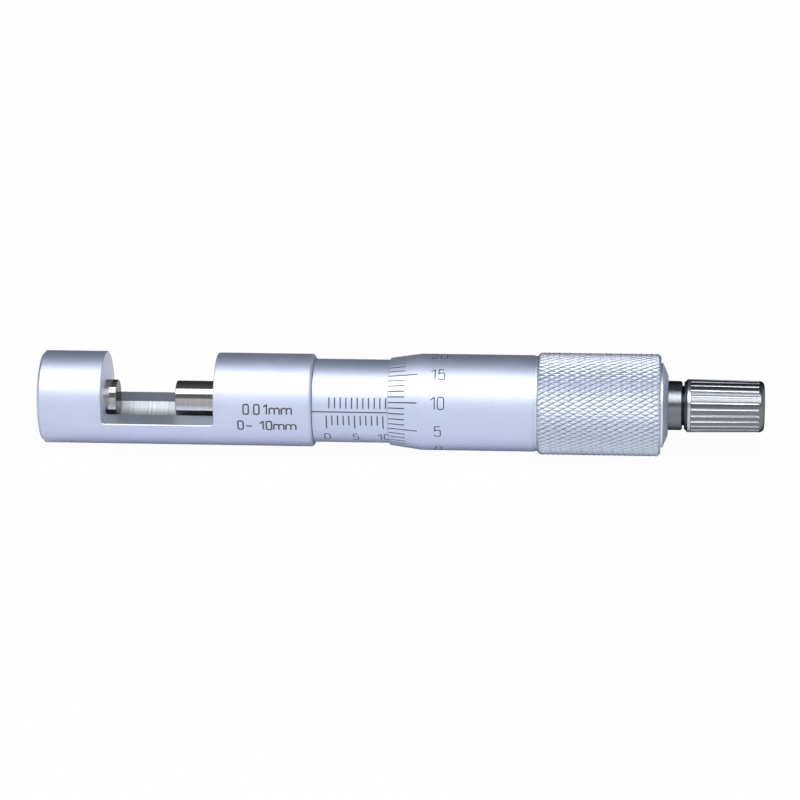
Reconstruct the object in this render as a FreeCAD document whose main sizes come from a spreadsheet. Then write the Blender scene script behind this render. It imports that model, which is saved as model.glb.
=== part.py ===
import FreeCAD, Part

import math
import os

import Sketcher

# A wire micrometer, 0 to 10 mm by 0.01 mm: a tube frame with a notch for the wire, an anvil
# pressed into its closed end, and a screw spindle driven by a thimble with a ratchet stop.
# Everything is turned about the X axis, which runs from the anvil towards the ratchet.
# The origin is the centre of the anvil's measuring face, +Z is the open side of the notch,
# and -Y is the side with the scale. It is set at a reading of 10.58 mm.

SIZES = {
    # Setting of the screw
    "gap": 10.58,  # between the measuring faces, which is also the reading
    "lead": 0.5,  # travel of the spindle in one turn
    "index_angle": 5.5,  # how far the index line stands above the horizontal
    # Clearances
    "seat_gap": 0.01,  # on the radius, between pieces that are pressed or drawn together
    "run_gap": 0.02,  # on the radius, between pieces that slide or turn
    "thimble_gap": 0.08,  # on the radius, between thimble and sleeve
    "face_gap": 0.1,  # between faces that turn past each other
    # Frame
    "frame_dia": 16.5,
    "heel_length": 11.4,  # closed end, from its face to the notch
    "notch_length": 20.0,
    "barrel_length": 17.35,  # from the notch to the shoulder under the sleeve
    "notch_drop": 2.0,  # floor of the notch below the axis
    "notch_corner": 0.7,
    "notch_break": 0.15,
    "heel_chamfer": 0.5,
    "shoulder_chamfer": 0.4,
    "frame_bore": 7.7,
    # Anvil
    "anvil_reach": 2.0,  # how far it stands into the notch
    "anvil_depth": 8.0,  # how far it is pressed into the heel
    "face_chamfer": 0.12,  # on the anvil and on the spindle
    # Inner sleeve
    "spigot_dia": 10.0,
    "spigot_length": 14.0,
    "core_dia": 12.7,
    "core_length": 21.5,
    "guide_length": 9.4,  # of the spindle's guide bore beyond the shoulder
    "relief_dia": 7.5,
    "nut_dia": 9.4,
    "nut_length": 10.0,
    "slit_width": 0.6,
    "slit_count": 3,
    # Adjusting nut
    "ring_dia": 12.4,
    "ring_length": 6.0,
    "ring_start": 2.0,  # from the end of the core
    "ring_taper": 0.2,  # growth of the seat's radius along the ring
    "ring_slot_width": 1.6,
    "ring_slot_depth": 1.0,
    # Sleeve with the main scale
    "sleeve_dia": 14.8,
    "zero_offset": 2.5,  # zero mark from the frame's shoulder
    "scale_pitch": 1.0,
    "scale_marks": 11,
    "mark_width": 0.16,
    "mark_depth": 0.06,
    "mark_start": 0.65,  # free strip beside the index line
    "mark_short": 1.95,
    "mark_long": 2.7,
    "spanner_hole_dia": 1.3,
    "spanner_hole_depth": 0.7,
    "spanner_hole_place": 3.5,
    # Spindle
    "spindle_dia": 6.35,
    "shank_length": 45.4,
    "thread_dia": 7.0,
    "thread_length": 21.1,
    "waist_dia": 6.2,
    "thread_chamfer": 0.3,
    # Thimble
    "lip_land": 0.06,
    "lip_dia": 15.52,
    "lip_length": 0.22,
    "cone_length": 6.0,
    "thimble_dia": 17.1,
    "smooth_length": 26.6,  # from the front edge to the grip
    "neck_depth": 0.12,
    "neck_width": 0.6,
    "grip_dia": 18.1,
    "grip_length": 21.65,
    "grip_chamfer": 0.5,
    "dome_dia": 15.0,
    "dome_rim": 0.35,
    "dome_length": 1.3,
    "dome_flat": 10.4,
    "dome_round": 1.2,
    "end_wall": 1.65,
    "hub_length": 11.8,
    "cone_seat_start": 1.5,  # of the taper seat inside the hub
    "cone_seat_length": 10.0,
    "cone_seat_large": 9.0,
    "cone_seat_small": 8.0,
    "end_hole_dia": 4.6,
    "divisions": 50,
    "numbered_every": 5,
    "division_short": 3.0,
    "division_long": 5.2,
    # Ratchet base, screwed into the spindle
    "stud_dia": 4.0,
    "stud_length": 8.5,
    "neck_dia": 8.7,
    "base_neck_length": 2.48,
    "base_chamfer": 0.25,
    "journal_dia": 7.0,
    "journal_length": 4.0,
    "tooth_count": 12,
    "tooth_height": 0.5,
    "tooth_root_dia": 4.2,
    "gullet_share": 0.85,  # of the pitch at the teeth's inner end
    "stem_dia": 3.0,
    # Ratchet knob
    "knob_gap": 0.32,
    "knob_turn": 4.4,  # how far its first flute leans from the top
    "knob_length": 14.1,
    "rim_dia": 9.4,
    "rim_length": 1.1,
    "rim_chamfer": 0.4,
    "knob_end_dia": 9.05,
    "knob_round": 1.0,
    "knob_bore_depth": 10.0,
    "flute_count": 25,
    "flute_width": 0.45,
    "flute_depth": 0.22,
    "flute_end": 13.2,
    "flute_nose": 0.15,  # how far its two end corners are broken
    "key_width": 1.3,
    "key_height": 0.4,
    "screw_head_dia": 4.6,
    "screw_head_length": 1.2,
    "screw_sink": 1.6,
    "screw_dia": 1.6,
    "screw_length": 4.0,
    "screw_slot_width": 0.5,
    "screw_slot_depth": 0.5,
    # Ratchet disc, spring and washer
    "disc_length": 2.0,
    "wire_dia": 0.5,
    "wire_sides": 8,
    "spring_dia": 4.6,
    "spring_turns": 4.0,
    "washer_dia": 5.8,
    "washer_thickness": 0.4,
}

DEGREES = 180 / math.pi

doc = FreeCAD.newDocument("wire_micrometer")
sheet = doc.addObject("Spreadsheet::Sheet", "Size")
for row, (alias, number) in enumerate(SIZES.items(), start=1):
    sheet.set(f"A{row}", alias)
    sheet.set(f"B{row}", str(number))
    sheet.setAlias(f"B{row}", alias)
doc.recompute()


class Formula:
    """A size as its present number and as the formula that ties it to the sheet."""

    def __init__(self, number, text):
        self.number = number
        self.text = text

    def __add__(self, other):
        other = formula(other)
        return Formula(self.number + other.number, f"({self.text} + {other.text})")

    def __sub__(self, other):
        other = formula(other)
        return Formula(self.number - other.number, f"({self.text} - {other.text})")

    def __mul__(self, other):
        other = formula(other)
        return Formula(self.number * other.number, f"({self.text} * {other.text})")

    def __truediv__(self, other):
        other = formula(other)
        return Formula(self.number / other.number, f"({self.text} / {other.text})")

    def __neg__(self):
        return Formula(-self.number, f"(0 - {self.text})")

    def __radd__(self, other):
        return formula(other) + self

    def __rsub__(self, other):
        return formula(other) - self


def formula(size):
    """Turn a plain number into a formula, and leave a formula as it is."""
    if isinstance(size, Formula):
        return size
    return Formula(float(size), repr(float(size)))


def size(alias):
    """The sheet's value of this name."""
    return Formula(SIZES[alias], f"Size.{alias}")


def half(alias):
    """The radius of a diameter in the sheet."""
    return size(alias) / 2


def bind(thing, prop, value):
    """Tie a property to the sheet."""
    thing.setExpression(prop, formula(value).text)


def piece(name, place=0, turn=0):
    """A new body at a place along the X axis, turned about it by an angle in degrees."""
    body = doc.addObject("PartDesign::Body", name)
    body.Label = name
    body.Placement = FreeCAD.Placement(
        FreeCAD.Vector(formula(place).number, 0, 0),
        FreeCAD.Rotation(FreeCAD.Vector(1, 0, 0), formula(turn).number),
    )
    bind(body, "Placement.Base.x", place)
    if isinstance(turn, Formula):
        bind(body, "Placement.Rotation.Angle", turn)
    return body


def origin_part(body, role):
    """One of the body's own planes or axes."""
    return next(f for f in body.Origin.OriginFeatures if f.Role == role)


def sketch_on(body, role, offset=None, turn=None):
    """A sketch on an origin plane, moved out along its normal or turned about its own X axis."""
    sketch = body.newObject("Sketcher::SketchObject", "Outline")
    sketch.AttachmentSupport = [(origin_part(body, role), "")]
    sketch.MapMode = "FlatFace"
    if offset is not None:
        bind(sketch, "AttachmentOffset.Base.z", offset)
    if turn is not None:
        sketch.AttachmentOffset = FreeCAD.Placement(
            FreeCAD.Vector(), FreeCAD.Rotation(FreeCAD.Vector(1, 0, 0), formula(turn).number)
        )
        bind(sketch, "AttachmentOffset.Rotation.Angle", turn)
    return sketch


def pin_point(sketch, edge, x, y):
    """Hold the start of an edge at a place measured from the sketch's origin."""
    for kind, value, axis in (("DistanceX", formula(x), -2), ("DistanceY", formula(y), -1)):
        if value.text == "0.0":
            sketch.addConstraint(Sketcher.Constraint("PointOnObject", edge, 1, axis))
            continue
        held = Sketcher.Constraint(kind, -1, 1, edge, 1, value.number)
        number = sketch.addConstraint(held)
        sketch.setExpression(f"Constraints[{number}]", value.text)


def draw(sketch, corners):
    """A closed outline of straight edges through these corners."""
    points = [FreeCAD.Vector(formula(x).number, formula(y).number, 0) for x, y in corners]
    count = len(points)
    for start, end in zip(points, points[1:] + points[:1]):
        sketch.addGeometry(Part.LineSegment(start, end))
    for edge in range(count):
        following = (edge + 1) % count
        sketch.addConstraint(Sketcher.Constraint("Coincident", edge, 2, following, 1))
    for edge, (x, y) in enumerate(corners):
        pin_point(sketch, edge, x, y)


def draw_box(sketch, left, right, low, high):
    """A closed rectangle."""
    draw(sketch, [(left, low), (right, low), (right, high), (left, high)])


def draw_circle(sketch, x, y, radius):
    """A circle held at a place, with its radius."""
    centre = FreeCAD.Vector(formula(x).number, formula(y).number, 0)
    sketch.addGeometry(Part.Circle(centre, FreeCAD.Vector(0, 0, 1), formula(radius).number))
    rules = (("DistanceX", x, -2), ("DistanceY", y, -1))
    for kind, value, axis in rules:
        value = formula(value)
        if value.text == "0.0":
            sketch.addConstraint(Sketcher.Constraint("PointOnObject", 0, 3, axis))
            continue
        number = sketch.addConstraint(Sketcher.Constraint(kind, -1, 1, 0, 3, value.number))
        sketch.setExpression(f"Constraints[{number}]", value.text)
    number = sketch.addConstraint(Sketcher.Constraint("Radius", 0, formula(radius).number))
    sketch.setExpression(f"Constraints[{number}]", formula(radius).text)


def turned(body, corners):
    """Turn a half section, given as places along X and radii, into a solid."""
    sketch = sketch_on(body, "XZ_Plane")
    draw(sketch, corners)
    solid = body.newObject("PartDesign::Revolution", "Turning")
    solid.Profile = sketch
    solid.ReferenceAxis = (sketch, ["H_Axis"])
    solid.Angle = 360
    return solid


def bored(body, corners):
    """Bore out a half section, given as places along X and radii."""
    sketch = sketch_on(body, "XZ_Plane")
    draw(sketch, corners)
    cut = body.newObject("PartDesign::Groove", "Bore")
    cut.Profile = sketch
    cut.ReferenceAxis = (sketch, ["H_Axis"])
    cut.Angle = 360
    return cut


def milled(body, left, right, low, high, width):
    """Mill a slot of this width, as a rectangle in the XZ plane with the slot's middle on it."""
    sketch = sketch_on(body, "XZ_Plane")
    draw_box(sketch, left, right, low, high)
    cut = body.newObject("PartDesign::Pocket", "Slot")
    cut.Profile = sketch
    cut.Midplane = True
    bind(cut, "Length", width)
    return cut


def around(body, cuts, count):
    """Repeat cuts evenly round the X axis."""
    ring = body.newObject("PartDesign::PolarPattern", "Around")
    ring.Originals = cuts
    ring.Axis = (origin_part(body, "X_Axis"), [""])
    ring.Angle = 360
    bind(ring, "Occurrences", count)
    body.Tip = ring
    return ring


def edges_where(feature, wanted):
    """Names of a feature's edges that a test picks out."""
    edges = enumerate(feature.Shape.Edges, start=1)
    return [f"Edge{number}" for number, edge in edges if wanted(edge)]


def ring_at(place, radius):
    """A test for a circular edge about the X axis at a place and radius."""
    place = formula(place).number
    radius = formula(radius).number

    def wanted(edge):
        curve = edge.Curve
        if not isinstance(curve, Part.Circle):
            return False
        return abs(curve.Center.x - place) < 1e-4 and abs(curve.Radius - radius) < 1e-4

    return wanted


def dress(body, kind, feature, wanted, prop, value):
    """Fillet or chamfer the edges of a feature that a test picks out."""
    doc.recompute()
    names = edges_where(feature, wanted)
    if not names:
        raise RuntimeError(f"{body.Label}: no edge to finish with a {kind}")
    finish = body.newObject(f"PartDesign::{kind}", kind)
    finish.Base = (feature, names)
    bind(finish, prop, value)
    body.Tip = finish
    return finish


# Places along the X axis that more than one piece goes by
SHOULDER = size("notch_length") - size("anvil_reach") + size("barrel_length")
ZERO = SHOULDER + size("zero_offset")
FRONT = ZERO + size("gap")
GRIP_END = size("smooth_length") + size("grip_length")
THIMBLE_LENGTH = GRIP_END + size("dome_length")
HUB_END = THIMBLE_LENGTH - size("end_wall")
HUB_START = HUB_END - size("hub_length")
BASE = FRONT + THIMBLE_LENGTH
KNOB = BASE + size("base_neck_length") + size("knob_gap")
CREST = BASE + size("base_neck_length") + size("journal_length")
SPRING_FLOOR = KNOB + size("knob_bore_depth")
HEAD_FLOOR = KNOB + size("knob_length") - size("screw_sink")
HEAD_SEAT = HEAD_FLOOR + size("face_gap")

# Radii that two pieces share
CORE = half("core_dia")
NUT = half("nut_dia")
BORE = half("sleeve_dia") + size("thimble_gap")
KNOB_BORE = half("journal_dia") + size("run_gap") * 2
STEM_HOLE = half("stem_dia") + size("run_gap") * 2

# The index line stands on local +Z of the sleeve, and zero of the thimble on its own +Z
INDEX_TURN = 90 - size("index_angle")
THIMBLE_TURN = INDEX_TURN + size("gap") / size("lead") * 360


def frame():
    """Tube frame: closed heel, notch for the wire, and a barrel that takes the inner sleeve."""
    body = piece("body", -(size("anvil_reach") + size("heel_length")))
    outside = half("frame_dia")
    wall = size("heel_length")
    far_wall = wall + size("notch_length")
    end = far_wall + size("barrel_length")
    turned(
        body,
        [
            (0, 0),
            (0, outside - size("heel_chamfer")),
            (size("heel_chamfer"), outside),
            (end - size("shoulder_chamfer"), outside),
            (end, outside - size("shoulder_chamfer")),
            (end, 0),
        ],
    )
    floor = -size("notch_drop")
    notch = milled(body, wall, far_wall, floor, outside + 1, size("frame_dia") + 2)

    def corner(edge):
        low, high = edge.BoundBox, formula(floor).number
        return abs(low.ZMin - high) < 1e-4 and abs(low.ZMax - high) < 1e-4 and low.XLength < 1e-4

    rounded = dress(body, "Fillet", notch, corner, "Radius", size("notch_corner"))

    def rim(edge):
        box = edge.BoundBox
        inside = box.XMin > wall.number - 1e-4 and box.XMax < far_wall.number + 1e-4
        middle = edge.valueAt((edge.FirstParameter + edge.LastParameter) / 2)
        return inside and abs(math.hypot(middle.y, middle.z) - outside.number) < 1e-3

    dress(body, "Chamfer", rounded, rim, "Size", size("notch_break"))
    hole = half("spindle_dia") + size("seat_gap")
    counterbore = end - size("spigot_length") - size("face_gap")
    bored(
        body,
        [
            (wall - size("anvil_depth") - size("face_gap"), 0),
            (wall - size("anvil_depth") - size("face_gap"), hole),
            (wall, hole),
            (wall, half("frame_bore")),
            (counterbore, half("frame_bore")),
            (counterbore, half("spigot_dia") + size("seat_gap")),
            (end + 1, half("spigot_dia") + size("seat_gap")),
            (end + 1, 0),
        ],
    )
    return body


def anvil():
    """Fixed anvil, a hardened pin pressed into the heel."""
    body = piece("anvil")
    back = -(size("anvil_reach") + size("anvil_depth"))
    radius = half("spindle_dia")
    turned(
        body,
        [
            (back, 0),
            (back, radius - size("thread_chamfer")),
            (back + size("thread_chamfer"), radius),
            (-size("face_chamfer"), radius),
            (0, radius - size("face_chamfer")),
            (0, 0),
        ],
    )
    return body


def inner_sleeve():
    """Guide of the spindle, with the split nut of its thread at the far end."""
    body = piece("inner_sleeve", SHOULDER)
    start = -size("spigot_length")
    core_end = size("core_length")
    ring_start = core_end + size("ring_start")
    ring_end = ring_start + size("ring_length")
    end = core_end + size("nut_length")
    guide = half("spindle_dia") + size("run_gap")
    nut_bore = half("thread_dia") + size("run_gap")
    turned(
        body,
        [
            (start, guide),
            (start, half("spigot_dia") - size("thread_chamfer")),
            (start + size("thread_chamfer"), half("spigot_dia")),
            (0, half("spigot_dia")),
            (0, CORE),
            (core_end, CORE),
            (core_end, NUT),
            (ring_start, NUT),
            (ring_end, NUT + size("ring_taper")),
            (end, NUT + size("ring_taper")),
            (end, nut_bore),
            (core_end, nut_bore),
            (core_end, half("relief_dia")),
            (size("guide_length"), half("relief_dia")),
            (size("guide_length"), guide),
        ],
    )
    slit = milled(body, ring_start, end + 1, 0, CORE, size("slit_width"))
    around(body, [slit], size("slit_count"))
    return body


def adjusting_nut():
    """Taper ring that closes the split nut on the thread and takes up its play."""
    body = piece("adjusting_nut", SHOULDER + size("core_length") + size("ring_start"))
    length = size("ring_length")
    inside = NUT + size("seat_gap")
    outside = half("ring_dia")
    chamfer = size("thread_chamfer")
    turned(
        body,
        [
            (0, inside),
            (0, outside - chamfer),
            (chamfer, outside),
            (length - chamfer, outside),
            (length, outside - chamfer),
            (length, inside + size("ring_taper")),
        ],
    )
    floor = length - size("ring_slot_depth")
    milled(body, floor, length + 1, -outside - 1, outside + 1, size("ring_slot_width"))
    return body


def sleeve():
    """Sleeve with the main scale, held on the inner sleeve by friction to set zero."""
    body = piece("sleeve", SHOULDER, INDEX_TURN)
    outside = half("sleeve_dia")
    start = size("face_gap")
    end = size("core_length")
    turned(
        body,
        [
            (start, CORE + size("run_gap")),
            (start, outside),
            (end, outside),
            (end, CORE + size("run_gap")),
        ],
    )
    depth = outside - size("mark_depth")
    above = outside + 1
    milled(body, start - 1, end + 1, depth, above, size("mark_width"))

    def marks(first, pitch, count, length, side):
        """A row of marks beside the index line: side 1 runs down the front, -1 up it."""
        free = size("mark_start") / outside * DEGREES
        edge = first - size("mark_width") / 2
        sketch = sketch_on(body, "XZ_Plane", turn=free * side)
        draw_box(sketch, edge, edge + size("mark_width"), depth, above)
        cut = body.newObject("PartDesign::Groove", "Mark")
        cut.Profile = sketch
        cut.ReferenceAxis = (sketch, ["H_Axis"])
        cut.Reversed = side < 0
        bind(cut, "Angle", length / outside * DEGREES)
        row = body.newObject("PartDesign::LinearPattern", "Marks")
        row.Originals = [cut]
        row.Direction = (origin_part(body, "X_Axis"), [""])
        row.Mode = "Spacing"
        bind(row, "Offset", pitch)
        bind(row, "Occurrences", count)
        body.Tip = row

    zero = size("zero_offset")
    pitch = size("scale_pitch")
    count = size("scale_marks")
    marks(zero, pitch, count, size("mark_short"), 1)
    marks(zero, pitch * 5, (count - 1) / 5 + 1, size("mark_long"), 1)
    marks(zero + pitch / 2, pitch, count, size("mark_short"), -1)

    hole = sketch_on(body, "XY_Plane", offset=-outside - 1)
    draw_circle(hole, size("spanner_hole_place"), 0, half("spanner_hole_dia"))
    blind = body.newObject("PartDesign::Pocket", "SpannerHole")
    blind.Profile = hole
    blind.Reversed = True
    bind(blind, "Length", size("spanner_hole_depth") + 1)
    return body


def spindle():
    """Spindle: ground shank, thread, waist and the taper that carries the thimble."""
    body = piece("spindle", size("gap"))
    radius = half("spindle_dia")
    thread = half("thread_dia")
    chamfer = size("thread_chamfer")
    thread_end = size("shank_length") + size("thread_length")
    seat = ZERO + HUB_START + size("cone_seat_start")
    end = seat + size("cone_seat_length")
    stud = half("stud_dia") + size("seat_gap")
    turned(
        body,
        [
            (0, 0),
            (0, radius - size("face_chamfer")),
            (size("face_chamfer"), radius),
            (size("shank_length") - chamfer, radius),
            (size("shank_length"), thread - chamfer),
            (size("shank_length") + chamfer, thread),
            (thread_end - chamfer, thread),
            (thread_end, half("waist_dia")),
            (seat, half("waist_dia")),
            (seat, half("cone_seat_large")),
            (end, half("cone_seat_small")),
            (end, stud),
            (ZERO + THIMBLE_LENGTH - size("stud_length") - 1, stud),
            (ZERO + THIMBLE_LENGTH - size("stud_length") - 1, 0),
        ],
    )
    return body


def thimble():
    """Thimble: bevelled edge with the divisions, smooth barrel, grip and domed end."""
    body = piece("thimble", FRONT, THIMBLE_TURN)
    barrel = half("thimble_dia")
    grip = half("grip_dia")
    chamfer = size("grip_chamfer")
    smooth = size("smooth_length")
    seat = HUB_START + size("cone_seat_start")
    seat_end = seat + size("cone_seat_length")
    large = half("cone_seat_large") + size("seat_gap")
    small = half("cone_seat_small") + size("seat_gap")
    solid = turned(
        body,
        [
            (0, BORE),
            (0, BORE + size("lip_land")),
            (size("lip_length"), half("lip_dia")),
            (size("cone_length"), barrel),
            (smooth - size("neck_width"), barrel),
            (smooth - size("neck_width"), barrel - size("neck_depth")),
            (smooth, barrel - size("neck_depth")),
            (smooth, grip - chamfer),
            (smooth + chamfer, grip),
            (GRIP_END - chamfer, grip),
            (GRIP_END, grip - chamfer),
            (GRIP_END, half("dome_dia")),
            (GRIP_END + size("dome_rim"), half("dome_dia")),
            (THIMBLE_LENGTH, half("dome_flat")),
            (THIMBLE_LENGTH, half("end_hole_dia")),
            (HUB_END, half("end_hole_dia")),
            (HUB_END, small),
            (seat_end, small),
            (seat, large),
            (HUB_START, large),
            (HUB_START, BORE),
        ],
    )
    dome = ring_at(THIMBLE_LENGTH, half("dome_flat"))
    dress(body, "Fillet", solid, dome, "Radius", size("dome_round"))

    slope = (barrel - half("lip_dia")) / (size("cone_length") - size("lip_length"))

    def division(length):
        """One division line, cut along the bevel from the front edge."""
        sketch = sketch_on(body, "XZ_Plane")
        start = half("lip_dia") - size("mark_depth")
        end = start + slope * length
        draw(sketch, [(-1, start), (0, start), (length, end), (length, end + 1), (-1, end + 1)])
        cut = body.newObject("PartDesign::Pocket", "Division")
        cut.Profile = sketch
        cut.Midplane = True
        bind(cut, "Length", size("mark_width"))
        return cut

    around(body, [division(size("division_short"))], size("divisions"))
    numbered = size("divisions") / size("numbered_every")
    around(body, [division(size("division_long"))], numbered)
    return body


def teeth(body, crest, side):
    """Saw teeth on an end face that looks to +X on side 1 and to -X on side -1."""
    root = half("tooth_root_dia")
    sketch = sketch_on(body, "XY_Plane", offset=root - 0.3)
    gullet = root * math.pi * size("gullet_share") / size("tooth_count")
    floor = crest - size("tooth_height") * side
    draw(sketch, [(crest, -gullet), (floor, gullet), (crest + side * 0.5, gullet)])
    cut = body.newObject("PartDesign::Pocket", "Gullet")
    cut.Profile = sketch
    cut.Reversed = True
    bind(cut, "Length", half("journal_dia") - root + 1)
    around(body, [cut], size("tooth_count"))


def ratchet_base():
    """Ratchet base: stud that draws the thimble on its taper, neck, journal with saw teeth, stem."""
    body = piece("ratchet_base", BASE)
    neck = size("base_neck_length")
    crest = neck + size("journal_length")
    stem_end = HEAD_SEAT - BASE
    stud = half("stud_dia")
    chamfer = size("thread_chamfer")
    drill = half("screw_dia") + size("seat_gap")
    drill_floor = stem_end - size("screw_length") - size("face_gap")
    recess = size("tooth_height") + size("face_gap")
    turned(
        body,
        [
            (-size("stud_length"), 0),
            (-size("stud_length"), stud - chamfer),
            (chamfer - size("stud_length"), stud),
            (0, stud),
            (0, half("neck_dia")),
            (neck - size("base_chamfer"), half("neck_dia")),
            (neck, half("neck_dia") - size("base_chamfer")),
            (neck, half("journal_dia")),
            (crest, half("journal_dia")),
            (crest, half("tooth_root_dia")),
            (crest - recess, half("tooth_root_dia")),
            (crest - recess, half("stem_dia")),
            (stem_end, half("stem_dia")),
            (stem_end, drill),
            (drill_floor, drill),
            (drill_floor, 0),
        ],
    )
    teeth(body, crest, 1)
    return body


def ratchet_disc():
    """Ratchet disc: saw teeth that face the base, and two ears that slide in the knob."""
    body = piece("ratchet_disc", CREST + size("face_gap"), size("knob_turn"))
    tooth = size("tooth_height")
    back = tooth + size("disc_length")
    outside = KNOB_BORE - size("run_gap") * 2
    recess = tooth + size("face_gap")
    turned(
        body,
        [
            (0, half("tooth_root_dia")),
            (0, outside),
            (back, outside),
            (back, STEM_HOLE),
            (recess, STEM_HOLE),
            (recess, half("tooth_root_dia")),
        ],
    )
    teeth(body, formula(0), -1)
    ears = sketch_on(body, "XZ_Plane")
    reach = KNOB_BORE + size("key_height") - size("run_gap") * 2
    draw_box(ears, recess, back, half("tooth_root_dia"), reach)
    ear = body.newObject("PartDesign::Pad", "Ear")
    ear.Profile = ears
    ear.Midplane = True
    bind(ear, "Length", size("key_width") - size("run_gap") * 4)
    around(body, [ear], formula(2))
    return body


def ratchet_spring():
    """Spring that presses the ratchet disc on the base."""
    start = CREST + size("face_gap") + size("tooth_height") + size("disc_length")
    room = SPRING_FLOOR - size("washer_thickness") - size("face_gap") - start
    body = piece("ratchet_spring", start)
    wire = half("wire_dia")
    clear = size("face_gap") / 2
    sketch = sketch_on(body, "XZ_Plane")
    count = SIZES["wire_sides"]
    angles = [(side + 0.5) * 2 * math.pi / count for side in range(count)]
    middle = half("spring_dia")
    draw(
        sketch,
        [(wire + clear + wire * math.cos(a), middle + wire * math.sin(a)) for a in angles],
    )
    coil = body.newObject("PartDesign::AdditiveHelix", "Coil")
    coil.Profile = sketch
    coil.ReferenceAxis = (sketch, ["H_Axis"])
    coil.Mode = "height-turns-angle"
    bind(coil, "Height", room - size("wire_dia") - clear * 2)
    bind(coil, "Turns", size("spring_turns"))
    return body


def ratchet_washer():
    """Thrust washer between the spring and the end wall of the knob."""
    place = SPRING_FLOOR - size("washer_thickness") - size("face_gap") / 2
    body = piece("ratchet_washer", place)
    outside = half("washer_dia")
    thickness = size("washer_thickness")
    turned(body, [(0, STEM_HOLE), (0, outside), (thickness, outside), (thickness, STEM_HOLE)])
    return body


def ratchet_knob():
    """Ratchet knob: fluted cap that turns on the journal of the base."""
    body = piece("ratchet_knob", KNOB, size("knob_turn"))
    length = size("knob_length")
    rim = half("rim_dia")
    end = half("knob_end_dia")
    head = half("screw_head_dia") + size("face_gap")
    sink = length - size("screw_sink")
    depth = size("knob_bore_depth")
    solid = turned(
        body,
        [
            (0, KNOB_BORE),
            (0, rim - size("rim_chamfer")),
            (size("rim_chamfer"), rim),
            (size("rim_length"), rim),
            (length, end),
            (length, head),
            (sink, head),
            (sink, STEM_HOLE),
            (depth, STEM_HOLE),
            (depth, KNOB_BORE),
        ],
    )
    dress(body, "Fillet", solid, ring_at(length, end), "Radius", size("knob_round"))
    flute = sketch_on(body, "XY_Plane", offset=end - size("flute_depth"))
    width = size("flute_width") / 2
    start = size("rim_length")
    stop = size("flute_end")
    nose = size("flute_nose")
    draw(
        flute,
        [
            (start, -width),
            (stop - nose, -width),
            (stop, nose - width),
            (stop, width - nose),
            (stop - nose, width),
            (start, width),
        ],
    )
    cut = body.newObject("PartDesign::Pocket", "Flute")
    cut.Profile = flute
    cut.Reversed = True
    bind(cut, "Length", rim - end + size("flute_depth") + 1)
    around(body, [cut], size("flute_count"))
    key = milled(body, -1, depth, 0, KNOB_BORE + size("key_height"), size("key_width"))
    around(body, [key], formula(2))
    return body


def ratchet_screw():
    """Slotted screw that keeps the knob on the stem of the base."""
    body = piece("ratchet_screw", HEAD_SEAT)
    head = half("screw_head_dia")
    thread = half("screw_dia")
    top = size("screw_head_length")
    turned(
        body,
        [
            (-size("screw_length"), 0),
            (-size("screw_length"), thread),
            (0, thread),
            (0, head),
            (top, head),
            (top, 0),
        ],
    )
    floor = top - size("screw_slot_depth")
    milled(body, floor, top + 1, -head - 1, head + 1, size("screw_slot_width"))
    return body


def check(bodies):
    """Stop if a feature failed, a cut removed nothing, or a piece isn't one sound solid."""
    for thing in doc.Objects:
        if "Invalid" in thing.State or "Error" in thing.State:
            raise RuntimeError(f"{thing.Label} failed")
        if thing.TypeId in ("PartDesign::Pocket", "PartDesign::Groove"):
            if thing.Shape.Volume > thing.BaseFeature.Shape.Volume - 1e-6:
                raise RuntimeError(f"{thing.Label} cuts nothing")
    for body in bodies:
        shape = body.Shape
        if shape.isNull() or not shape.isValid() or len(shape.Solids) != 1:
            raise RuntimeError(f"{body.Label} isn't one sound solid")


pieces = [
    frame(),
    anvil(),
    inner_sleeve(),
    adjusting_nut(),
    sleeve(),
    spindle(),
    thimble(),
    ratchet_base(),
    ratchet_disc(),
    ratchet_spring(),
    ratchet_washer(),
    ratchet_knob(),
    ratchet_screw(),
]
doc.recompute()
check(pieces)

os.makedirs("parts", exist_ok=True)
for body in pieces:
    body.Shape.exportStep(f"parts/{body.Label}.step")
    box = body.Shape.BoundBox
    print(f"{body.Label}: x {box.XMin:.2f} to {box.XMax:.2f}, {body.Shape.Volume:.1f} mm3")
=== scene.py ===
# %% [markdown]
# # A wire micrometer
# This lesson dresses a imported CAD model of a small tubular micrometer. The imported model is the
# fixed frame: each piece made here stands where the frame says, in metres, and rides on one of its
# bodies, so the screw still turns and travels. We load it first and keep the size of its box, which
# places the camera and the floor. Blender works in metres. The sizes below are in millimetres and
# the angles in degrees, as on a workshop drawing, and MM turns millimetres into metres.

import bpy
import bmesh
import math
from mathutils import Matrix, Vector


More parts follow.
